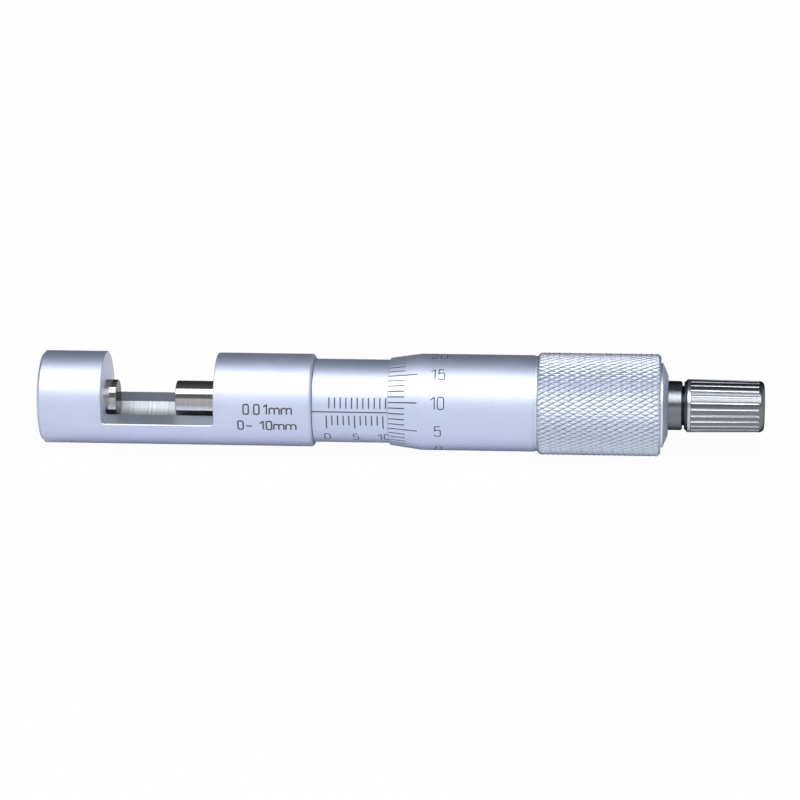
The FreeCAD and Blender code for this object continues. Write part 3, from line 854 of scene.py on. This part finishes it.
show(
    "thimble_body", pale_rim(make_thimble()), "thimble_set", "satin_chrome",
    [satin_chrome, paint, highlight_chrome], "thimble",
)

# %% [markdown]
# ## Figures
# The figures and the plain words are etched with a round pen, so each sign is a few strokes. A
# Text object would give the shapes of some typeface instead. A sign is kept as the points of its
# strokes, in a box that is one wide and one high, with its own share of the pen's usual width.

# %% List the strokes of each sign
ROUND_ZERO = [(0.5, 0), (1, 0), (1, 0.5), (1, 1), (0.5, 1), (0, 1), (0, 0.5), (0, 0)]
ARCH = [(0, 0.35), (0, 0.655), (0.5, 0.655), (0.5, 0.35), (0.5, 0)]
SIGNS = {
    "0": (1.0, [ROUND_ZERO]),
    "1": (0.62, [[(0, 0.76), (1, 1), (1, 1), (1, 0)]]),
    "2": (
        1.0,
        [[(0, 0.75), (0, 1), (0.5, 1), (1, 1), (1, 0.7), (0.9, 0.5), (0, 0), (0, 0), (1, 0)]],
    ),
    "3": (
        1.0,
        [
            [(0, 0.85), (0, 1), (0.5, 1), (1, 1), (1, 0.77), (1, 0.54), (0.4, 0.54)],
            [(0.4, 0.54), (1, 0.54), (1, 0.27), (1, 0), (0.5, 0), (0, 0), (0, 0.16)],
        ],
    ),
    "4": (1.0, [[(0.75, 0), (0.75, 1), (0.75, 1), (0, 0.3), (0, 0.3), (1, 0.3)]]),
    "5": (
        1.0,
        [
            [
                (0.95, 1), (0.12, 1), (0.12, 1), (0.05, 0.55), (0.05, 0.55),
                (0.5, 0.68), (1, 0.62), (1, 0.3), (1, 0), (0.5, 0), (0.1, 0), (0, 0.16),
            ]
        ],
    ),
    "m": (1.9, [[(0, 0), (0, 0.655)], ARCH, [(u + 0.5, v) for u, v in ARCH]]),
    ".": (0.1, [[(0, 0), (1, 0)]]),
    "-": (1.05, [[(0, 0.42), (1, 0.42)]]),
}
print("signs:", " ".join(SIGNS))

# %% [markdown]
# Each stroke becomes a smooth curve with a round section, and then a mesh, because a mesh can be
# cut, bent and exported where a curve can't. The caps come as loose faces, so the doubles are
# merged to close the stroke. That is done for one stroke at a time: where two strokes of a sign
# meet, they should stay two closed shapes.

# %% Draw signs with a round pen
PEN_STEPS = 5
CURVE_ORDER = 3


def stroke_form(places, pen, closed):
    """A closed form of one stroke of a round pen along these places, in millimetres."""
    curve = bpy.data.curves.new("pen", "CURVE")
    curve.dimensions = "3D"
    curve.bevel_depth = pen / 2 * MM
    curve.bevel_resolution = 1
    curve.use_fill_caps = True
    curve.resolution_u = PEN_STEPS
    line = curve.splines.new("NURBS")
    line.points.add(len(places) - 1)
    for point, (x, y) in zip(line.points, places):
        point.co = (x * MM, y * MM, 0, 1)
    line.use_cyclic_u = closed
    line.use_endpoint_u = not closed
    line.order_u = min(CURVE_ORDER, len(places))
    holder = bpy.data.objects.new("pen", curve)
    mesh = bpy.data.meshes.new_from_object(holder)
    form = bmesh.new()
    form.from_mesh(mesh)
    bmesh.ops.remove_doubles(form, verts=form.verts, dist=MERGE)
    bpy.data.objects.remove(holder)
    bpy.data.curves.remove(curve)
    bpy.data.meshes.remove(mesh)
    return form


def joined(forms):
    """One bmesh from several."""
    whole = bmesh.new()
    for form in forms:
        mesh = bpy.data.meshes.new("joined")
        form.to_mesh(mesh)
        form.free()
        whole.from_mesh(mesh)
        bpy.data.meshes.remove(mesh)
    bmesh.ops.recalc_face_normals(whole, faces=whole.faces)
    return whole


def drawn(signs, width, height, pen):
    """A flat form of signs, each with the place of its left side, in millimetres."""
    forms = []
    for sign, left in signs:
        share, strokes = SIGNS[sign]
        for points in strokes:
            places = [
                (left + pen / 2 + right * share * width, up * height + pen / 2)
                for right, up in points
            ]
            forms.append(stroke_form(places, pen, closed=points is ROUND_ZERO))
    return joined(forms)


print("steps along each bend of a stroke:", PEN_STEPS)

# %% [markdown]
# A straight stroke can't bend, so the drawing is first cut across at many levels. The wrap then
# turns a height on the flat drawing into an angle about the axis, and the depth of the pen's round
# section into a very thin layer on the surface.

# %% Wrap signs round the part
WRAP_STEP = 0.2
LAYER = 0.012


def cut_across(form, place, direction):
    """Cut a form's faces where they cross a plane."""
    everything = form.verts[:] + form.edges[:] + form.faces[:]
    bmesh.ops.bisect_plane(form, geom=everything, dist=MERGE, plane_co=place, plane_no=direction)


def wrapped(form, x, foot, radius, top):
    """Bend a flat drawing round the axis, with its foot at an angle, on a radius."""
    for number in range(1, int(top / WRAP_STEP) + 1):
        cut_across(form, (0, number * WRAP_STEP * MM, 0), (0, 1, 0))
    deepest = max(vert.co.z for vert in form.verts)
    for vert in form.verts:
        turn = math.radians(foot) + vert.co.y / MM / radius
        reach = radius * MM + vert.co.z / deepest * LAYER * MM
        vert.co = (x * MM + vert.co.x, -math.cos(turn) * reach, math.sin(turn) * reach)
    return form


print("signs stand out by", LAYER, "mm")

# %% [markdown]
# Two lines of plain words stand on the frame: the value of a division and the range.

# %% Write on the frame
FRAME_RADIUS = 8.25
WORD_PEN = 0.27
WORD_WIDTH = 0.93
WORD_HEIGHT = 1.74
VALUE_FOOT = 1.9
VALUE_WORDS = (("0", 23.27), (".", 24.68), ("0", 25.17), ("1", 26.83), ("m", 27.90), ("m", 30.04))
RANGE_FOOT = -19.5
RANGE_WORDS = (
    ("0", 22.26), ("-", 23.75), ("1", 26.17), ("0", 27.30), ("m", 28.62), ("m", 30.75)
)
lines = []
for words, foot in ((VALUE_WORDS, VALUE_FOOT), (RANGE_WORDS, RANGE_FOOT)):
    flat = drawn(words, WORD_WIDTH, WORD_HEIGHT, WORD_PEN)
    lines.append(wrapped(flat, 0, foot, FRAME_RADIUS, WORD_HEIGHT + WORD_PEN))
show("frame_words", joined(lines), "frame", "satin_chrome", [paint])

# %% [markdown]
# The sleeve has a figure under every fifth millimetre, and the thimble one beside every fifth
# division, where values grow upwards. Both are the same pen in two sizes.

# %% Write the figures of both scales
FIGURE_PEN = 0.2
SLEEVE_WIDTH = 0.95
SLEEVE_HEIGHT = 1.85
SLEEVE_FOOT = -46.2
THIMBLE_WIDTH = 1.08
THIMBLE_HEIGHT = 2.12
THIMBLE_MIDDLE = 9.2
FIGURE_SPACE = 0.36


def figures(number, width):
    """The signs of a number, centred on zero, and each one's left side."""
    shares = [SIGNS[sign][0] * width + FIGURE_PEN for sign in str(number)]
    left = -(sum(shares) + FIGURE_SPACE * (len(shares) - 1)) / 2
    places = []
    for sign, share in zip(str(number), shares):
        places.append((sign, left))
        left += share + FIGURE_SPACE
    return places


sleeve_figures = []
for number in range(0, SCALE_MARKS, LONG_EVERY):
    flat = drawn(figures(number, SLEEVE_WIDTH), SLEEVE_WIDTH, SLEEVE_HEIGHT, FIGURE_PEN)
    at = shoulder + ZERO_OFFSET + number
    sleeve_figures.append(
        wrapped(flat, at, SLEEVE_FOOT, SLEEVE_RADIUS, SLEEVE_HEIGHT + FIGURE_PEN)
    )
show("sleeve_figures", joined(sleeve_figures), "scale_sleeve", "satin_chrome", [paint])

thimble_figures = []
tall = THIMBLE_HEIGHT + FIGURE_PEN
for number in range(0, DIVISIONS, NUMBERED_EVERY):
    flat = drawn(figures(number, THIMBLE_WIDTH), THIMBLE_WIDTH, THIMBLE_HEIGHT, FIGURE_PEN)
    foot = zero_angle + number * 360 / DIVISIONS - arc_angle(tall / 2, BARREL_RADIUS)
    thimble_figures.append(wrapped(flat, front + THIMBLE_MIDDLE, foot, BARREL_RADIUS, tall))
show("thimble_figures", joined(thimble_figures), "thimble_set", "satin_chrome", [paint])

# %% [markdown]
# ## The knurled grip
# A diamond knurl is two families of crossing grooves, which a pair of rollers presses in. Cutting
# some hundred grooves with booleans would be slow and would leave a poor mesh, so we raise what is
# left between them. We start from a grid whose cells are as long and as wide as one diamond. Poking
# each cell adds its two diagonals, and dissolving the grid's own edges leaves a net of diamonds.

# %% Lay a net of diamonds
KNURL_AROUND = 60
KNURL_ALONG = 12
GRIP_RADIUS = 9.05
GROOVE_DEPTH = 0.23


def net_of_diamonds():
    """Tube of flat diamonds at the bottom of the grooves."""
    floor = GRIP_RADIUS - GROOVE_DEPTH
    form = bmesh.new()
    length = grip_end - grip_start
    points = [
        form.verts.new(((grip_start + length * number / KNURL_ALONG) * MM, -floor * MM, 0))
        for number in range(KNURL_ALONG + 1)
    ]
    edges = [form.edges.new(pair) for pair in zip(points, points[1:])]
    bmesh.ops.spin(
        form,
        geom=points + edges,
        cent=(0, 0, 0),
        axis=(1, 0, 0),
        angle=2 * math.pi,
        steps=KNURL_AROUND,
        use_merge=True,
        use_duplicate=False,
    )
    bmesh.ops.recalc_face_normals(form, faces=form.faces)
    grid = [edge for edge in form.edges if len(edge.link_faces) == 2]
    poked = bmesh.ops.poke(form, faces=form.faces, center_mode="MEAN")
    for vert in poked["verts"]:
        move_to(vert, floor)
    bmesh.ops.dissolve_edges(form, edges=grid, use_verts=False)
    return form


grip_form = net_of_diamonds()
print("diamonds:", len(grip_form.faces))

# %% [markdown]
# Insetting each diamond by itself twice, outwards, raises its steep sides and its sloping top. The
# tops lean a little, as the rollers push them. The walls of one family of grooves are painted
# darker than the other, a painted shade: the first ring of faces is sorted by its normals, and
# those walls take a darker copy of the chrome.

# %% Raise the diamonds
FACETS = ((0.09, 0.10), (0.28, 0.13))
TOP_SHIFT = (0.11, -0.058)
SHADED_GROOVE_WALL = 1
grip_chrome = metal("grip_chrome", (0.68, 0.73, 0.87), 0.42, rim=(0.1, 0.11, 0.13), grain=7.0)
# A darker copy of the grip's chrome for the walls of one groove family: painted shade.
shaded_groove_chrome = metal("shaded_groove_chrome", (0.36, 0.385, 0.45), 0.5, rim=(0.1, 0.11, 0.13), grain=0.6)


def on_rising_groove(face):
    """Whether a face belongs to a groove that climbs towards the ratchet."""
    place = face.calc_center_median()
    upwards = face.normal.y * place.z - face.normal.z * place.y
    return face.normal.x * upwards < 0


def raise_diamonds(form):
    """Inset each diamond outwards, once for its sides and once for its top."""
    diamonds = list(form.faces)
    for number, (thickness, depth) in enumerate(FACETS):
        ring = bmesh.ops.inset_individual(
            form, faces=diamonds, thickness=thickness * MM, depth=depth * MM, use_even_offset=True
        )["faces"]
        if number == 0:
            form.normal_update()
            # These groove walls take the painted shade.
            for face in filter(on_rising_groove, ring):
                face.material_index = SHADED_GROOVE_WALL
    top = GRIP_RADIUS - FACETS[1][1]
    for vert in form.verts:
        reach = from_axis(vert.co)
        if reach > top * MM:
            turn = math.radians(height_angle(vert.co)) + TOP_SHIFT[1] / GRIP_RADIUS
            x = vert.co.x + TOP_SHIFT[0] * MM
            vert.co = (x, -math.cos(turn) * reach, math.sin(turn) * reach)


raise_diamonds(grip_form)
print("grip:", len(grip_form.faces), "faces")

# %% [markdown]
# Both ends are turned to a chamfer. We cut the mesh where each chamfer starts and ends and press
# what stands above it down. Then the open rims are drawn inwards and bridged, which closes the
# tube.

# %% Chamfer and close the grip
GRIP_CHAMFER = 0.5
INSIDE_GRIP = 8.3
KNURL_CREASE = math.radians(3)


def chamfer_ends(form):
    """Press the ends of the grip down to a chamfer."""
    deep = GRIP_CHAMFER - GROOVE_DEPTH
    starts = (grip_start + deep, grip_start + GRIP_CHAMFER)
    for at in (*starts, grip_end - GRIP_CHAMFER, grip_end - deep):
        cut_across(form, (at * MM, 0, 0), (1, 0, 0))
    for vert in form.verts:
        inwards = min(vert.co.x / MM - grip_start, grip_end - vert.co.x / MM)
        limit = GRIP_RADIUS - max(0, GRIP_CHAMFER - inwards)
        if from_axis(vert.co) / MM > limit:
            move_to(vert, limit)


def close_tube(form):
    """Draw both rims in to the bore and join them."""
    rims = [edge for edge in form.edges if edge.is_boundary]
    inner = bmesh.ops.extrude_edge_only(form, edges=rims)["geom"]
    for item in inner:
        if isinstance(item, bmesh.types.BMVert):
            move_to(item, INSIDE_GRIP)
    inner_rims = [item for item in inner if isinstance(item, bmesh.types.BMEdge)]
    bmesh.ops.bridge_loops(form, edges=inner_rims)
    bmesh.ops.recalc_face_normals(form, faces=form.faces)


chamfer_ends(grip_form)
close_tube(grip_form)
show(
    "knurled_grip", grip_form, "thimble_set", "satin_chrome", [grip_chrome, shaded_groove_chrome],
    "thimble", crease=KNURL_CREASE,
)

# %% [markdown]
# ## The ratchet knob
# The knob is a cap with twenty-five flutes that a ball-nosed cutter left, so each is round at its
# bottom and at its far end. Its skin tapers a little from the rim to the end.

# %% Measure the knob
FLUTES = 25
FLUTE_PITCH = 360 / FLUTES
FLUTE_AT = 13.6
FLUTE_HALF = 0.25
FLUTE_DEPTH = 0.22
FLUTE_START = 1.18
FLUTE_END = 13.16
FLUTE_NOSE = FLUTE_END - FLUTE_HALF
RIM_RADIUS = 4.7
RIM_LENGTH = 1.1
KNOB_RADIUS = 4.525
half_flute = arc_angle(FLUTE_HALF, RIM_RADIUS)
knob_start, knob_end = (corner.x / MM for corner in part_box("ratchet_knob"))
knob_length = knob_end - knob_start


def knob_radius(along):
    """Radius of the knob's skin at a distance from its rim's front."""
    share = (along - RIM_LENGTH) / (knob_length - RIM_LENGTH)
    return RIM_RADIUS + (KNOB_RADIUS - RIM_RADIUS) * share


print("knob:", round(knob_length, 2), "mm long, a flute every", FLUTE_PITCH, "degrees")

# %% [markdown]
# Behind the rim is a narrow groove, and the end has a recess for the head of the screw. The lathe
# gets nine stops across every flute, and the outline has rows of places along the flutes' round
# noses, because only where there are places can the skin be pushed in.

# %% Turn the knob
FLUTE_COLUMNS = (-1, -0.9, -0.65, -0.33, 0, 0.33, 0.65, 0.9, 1)
NOSE_ROWS = (0, 0.33, 0.65, 0.9, 1)
RIM_CHAMFER = 0.6
RIM_GROOVE = 0.05
GROOVE_SIDE = 0.01
KNOB_ROUND = 0.9
KNOB_BORE = 3.56
BORE_ROUND = 0.08
KNOB_DEPTH = 10.0
HEAD_HOLE = 2.4
HEAD_SINK = 1.6
STEM_HOLE = 1.56


def knob_outline():
    """The knob from its bore over the rim, the flutes and the round end to the screw's recess."""
    rows = [FLUTE_START] + [FLUTE_NOSE + FLUTE_HALF * share for share in NOSE_ROWS]
    return [
        (0, KNOB_BORE, BORE_ROUND),
        (0, RIM_RADIUS - RIM_CHAMFER),
        (RIM_CHAMFER, RIM_RADIUS),
        (RIM_LENGTH, RIM_RADIUS),
        (RIM_LENGTH + GROOVE_SIDE, RIM_RADIUS - RIM_GROOVE),
        (FLUTE_START - GROOVE_SIDE, RIM_RADIUS - RIM_GROOVE),
        *((along, knob_radius(along)) for along in rows),
        (knob_length, KNOB_RADIUS, KNOB_ROUND),
        (knob_length, HEAD_HOLE, SMALL_ROUND),
        (knob_length - HEAD_SINK, HEAD_HOLE),
        (knob_length - HEAD_SINK, STEM_HOLE),
        (KNOB_DEPTH, STEM_HOLE),
        (KNOB_DEPTH, KNOB_BORE),
    ]


columns = [
    FLUTE_AT + number * FLUTE_PITCH + share * half_flute
    for number in range(FLUTES)
    for share in FLUTE_COLUMNS
]
outline = [(knob_start + along, *rest) for along, *rest in knob_outline()]
knob_form = turned(outline, stops_through(columns))
print("knob:", len(knob_form.faces), "faces before its flutes")

# %% [markdown]
# Now each place of the skin goes inwards by the depth of a ball there, which a square root gives.
# That needs no cutter and no boolean, and the mesh stays a clean grid. The rim is worn, and it and
# each flute from its lower edge to most of the way up get a paler steel, a painted highlight. The
# groove behind the rim is painted near black, a painted shade.

# %% Flute the knob
SKIN = 0.05
# Each flute's lower side, up to this share, gets the painted highlight; the groove behind the rim
# gets painted shade.
HIGHLIGHT_UP_TO = 0.65
WEAR_AND_HIGHLIGHT, GROOVE_SHADE = 1, 2


def beside_flute(place):
    """How far a place is above the middle of the nearest flute, in halves of a flute."""
    turns = (height_angle(place) - FLUTE_AT) / FLUTE_PITCH
    return (turns - round(turns)) * FLUTE_PITCH / half_flute


def cut_flutes(form):
    """Push the skin in where the ball-nosed cutter went."""
    for vert in form.verts:
        along = vert.co.x / MM - knob_start
        reach = from_axis(vert.co) / MM
        if along < FLUTE_START - GROOVE_SIDE or reach < KNOB_RADIUS - SKIN:
            continue
        forwards = max(0, along - FLUTE_NOSE) / FLUTE_HALF
        left = max(0, 1 - beside_flute(vert.co) ** 2 - forwards**2)
        move_to(vert, reach - FLUTE_DEPTH * math.sqrt(left))


def wear_knob(form):
    """Give the rim and the flutes a paler steel, for wear and a painted highlight, and the groove
    painted shade.
    """
    for face in form.faces:
        place = face.calc_center_median() / MM
        along = place.x - knob_start
        if from_axis(place) < KNOB_RADIUS - FLUTE_DEPTH - SKIN:
            continue
        lit_flute_side = -1 < beside_flute(place) < HIGHLIGHT_UP_TO and FLUTE_START < along < FLUTE_END
        if RIM_CHAMFER < along < RIM_LENGTH or lit_flute_side:
            face.material_index = WEAR_AND_HIGHLIGHT
        elif RIM_LENGTH < along < FLUTE_START:
            face.material_index = GROOVE_SHADE


cut_flutes(knob_form)
wear_knob(knob_form)
show(
    "fluted_knob", knob_form, "ratchet", "bright_steel", [bright_steel, wear_and_highlight, shade_steel],
    "ratchet_knob",
)

# %% [markdown]
# ## The floor
# The part lies on a plain white floor. The photograph's background is pure white, and its shadow
# is almost gone. More light would bleach the metal, so the floor's material does it: rays from the
# camera see mostly plain white, mirrored rays see some of it, and all others see a pale matt floor
# that takes the shadow.

# %% Lay the floor
FLOOR_SIZE = 6.0
WHITE_TO_CAMERA = 0.97
WHITE_TO_METAL = 0.07
FLOOR_TONE = (0.72, 0.72, 0.72, 1)
FLOOR_ROUGHNESS = 0.9
FLOOR_GLOSS = 0.1
floor_mesh = bmesh.new()
bmesh.ops.create_grid(floor_mesh, x_segments=1, y_segments=1, size=FLOOR_SIZE / 2)
floor_data = bpy.data.meshes.new("floor")
floor_mesh.to_mesh(floor_data)
floor_mesh.free()
floor = bpy.data.objects.new("floor", floor_data)
floor.location.z = cad_box[0][2]
bpy.context.scene.collection.objects.link(floor)
print("floor at", round(floor.location.z / MM, 2), "mm")

# %% [markdown]
# Light Path says what kind of ray has come. Its answers are 0 or 1, so a share for each kind, added
# up, says how much of the plain white that ray finds. The room will need the same sum later.

# %% Share out the white
def white_share(nodes, links, to_camera, to_metal):
    """How white a ray should find the background, by what sent the ray."""
    path = nodes.new("ShaderNodeLightPath")
    mirrored = nodes.new("ShaderNodeMath")
    mirrored.operation = "MAXIMUM"
    links.new(path.outputs["Is Glossy Ray"], mirrored.inputs[0])
    links.new(path.outputs["Is Transmission Ray"], mirrored.inputs[1])
    shares = []
    camera_ray = path.outputs["Is Camera Ray"]
    for source, share in ((camera_ray, to_camera), (mirrored.outputs[0], to_metal)):
        part = nodes.new("ShaderNodeMath")
        part.operation = "MULTIPLY"
        part.inputs[1].default_value = share
        links.new(source, part.inputs[0])
        shares.append(part)
    whole = nodes.new("ShaderNodeMath")
    links.new(shares[0].outputs[0], whole.inputs[0])
    links.new(shares[1].outputs[0], whole.inputs[1])
    return whole.outputs[0]


floor_material = bpy.data.materials.new("floor_white")
floor_material.use_nodes = True
floor_nodes = floor_material.node_tree.nodes
floor_links = floor_material.node_tree.links
matt = floor_nodes["Principled BSDF"]
matt.inputs["Base Color"].default_value = FLOOR_TONE
matt.inputs["Roughness"].default_value = FLOOR_ROUGHNESS
matt.inputs["Specular IOR Level"].default_value = FLOOR_GLOSS
plain_white = floor_nodes.new("ShaderNodeEmission")
either = floor_nodes.new("ShaderNodeMixShader")
share = white_share(floor_nodes, floor_links, WHITE_TO_CAMERA, WHITE_TO_METAL)
floor_links.new(share, either.inputs[0])
floor_links.new(matt.outputs[0], either.inputs[1])
floor_links.new(plain_white.outputs[0], either.inputs[2])
floor_links.new(either.outputs[0], floor_nodes["Material Output"].inputs["Surface"])
floor_data.materials.append(floor_material)
print("the camera sees", WHITE_TO_CAMERA, "of plain white, metal sees", WHITE_TO_METAL)

# %% [markdown]
# ## The light
# Two long softboxes hang above and in front of the part, side by side, the right one lower. They
# are the broad white band on the metal. Each is told by the lowest and the highest angle at which
# the part sees it, and by its left and right ends.

# %% Hang the softboxes
SOFTBOX_DISTANCE = 1.3
SOFTBOX_LIGHT = 4.0
SOFTBOXES = {"softbox_left": (52, 88, -2.2, 0.05), "softbox_right": (38, 75, 0.05, 0.75)}


def at_elevation(angle, far):
    """A place in front of the part, at an angle above the floor."""
    return Vector((0, -math.cos(math.radians(angle)) * far, math.sin(math.radians(angle)) * far))


for name, (lowest, highest, left, right) in SOFTBOXES.items():
    lower = at_elevation(lowest, SOFTBOX_DISTANCE)
    upper = at_elevation(highest, SOFTBOX_DISTANCE)
    softbox = bpy.data.objects.new(name, bpy.data.lights.new(name, "AREA"))
    softbox.data.shape = "RECTANGLE"
    softbox.data.size = right - left
    softbox.data.size_y = (upper - lower).length
    softbox.data.energy = SOFTBOX_LIGHT * math.pi * softbox.data.size * softbox.data.size_y
    softbox.location = (lower + upper) / 2 + Vector(((left + right) / 2, 0, 0))
    softbox.rotation_euler = (lower + upper).to_track_quat("Z", "Y").to_euler()
    bpy.context.scene.collection.objects.link(softbox)
    print(name, round(softbox.data.energy, 1), "W")

# %% [markdown]
# ## The room
# A polished part shows the room round it. This one is dim behind, which is the dark rim along the
# top of the metal, and lighter in front, where a white card stands low. Its right side is pale, and
# the end wall of the notch shows that, together with the paler copy of its finish that paints light
# on it. The camera itself sees a white room. The direction of a ray has a share along each axis,
# and those shares blend the tones.

# %% Paint the room
ROOM_BEHIND = (0.05, 0.055, 0.065, 1)
ROOM_IN_FRONT = (0.27, 0.275, 0.29, 1)
ROOM_ON_THE_RIGHT = (0.75, 0.76, 0.79, 1)
CARD = (1.0, 1.0, 1.0, 1)
CARD_TOP = 17
CARD_BLUR = 0.03
RIGHT_STARTS = 0.4
ROOM_WHITE = (1.0, 1.0, 1.0, 1)

world = bpy.data.worlds.new("studio")
world.use_nodes = True
room_nodes = world.node_tree.nodes
room_links = world.node_tree.links
facing = room_nodes.new("ShaderNodeTexCoord").outputs["Generated"]
split = room_nodes.new("ShaderNodeSeparateXYZ")
room_links.new(facing, split.inputs[0])


def share_along(axis, none_at, all_at):
    """How far a direction is from one value to another along an axis, from 0 to 1."""
    ramp = room_nodes.new("ShaderNodeMapRange")
    ramp.inputs["From Min"].default_value = none_at
    ramp.inputs["From Max"].default_value = all_at
    room_links.new(split.outputs[axis], ramp.inputs["Value"])
    return ramp.outputs[0]


def blended(share, first, second):
    """Two colours or colour sockets, blended by a share."""
    blend = room_nodes.new("ShaderNodeMix")
    blend.data_type = "RGBA"
    room_links.new(share, blend.inputs["Factor"])
    for name, colour in (("A", first), ("B", second)):
        if isinstance(colour, tuple):
            blend.inputs[name].default_value = colour
        else:
            room_links.new(colour, blend.inputs[name])
    return blend.outputs["Result"]


card_edge = math.sin(math.radians(CARD_TOP))
card_share = share_along("Z", card_edge + CARD_BLUR, card_edge - CARD_BLUR)
in_front = blended(card_share, ROOM_IN_FRONT, CARD)
room = blended(share_along("Y", 1, -1), ROOM_BEHIND, in_front)
room = blended(share_along("X", RIGHT_STARTS, 1), room, ROOM_ON_THE_RIGHT)
seen = blended(white_share(room_nodes, room_links, 1, 0), room, ROOM_WHITE)
room_links.new(seen, room_nodes["Background"].inputs["Color"])
bpy.context.scene.world = world
bpy.context.scene.view_settings.view_transform = "Standard"
print("view transform:", bpy.context.scene.view_settings.view_transform)
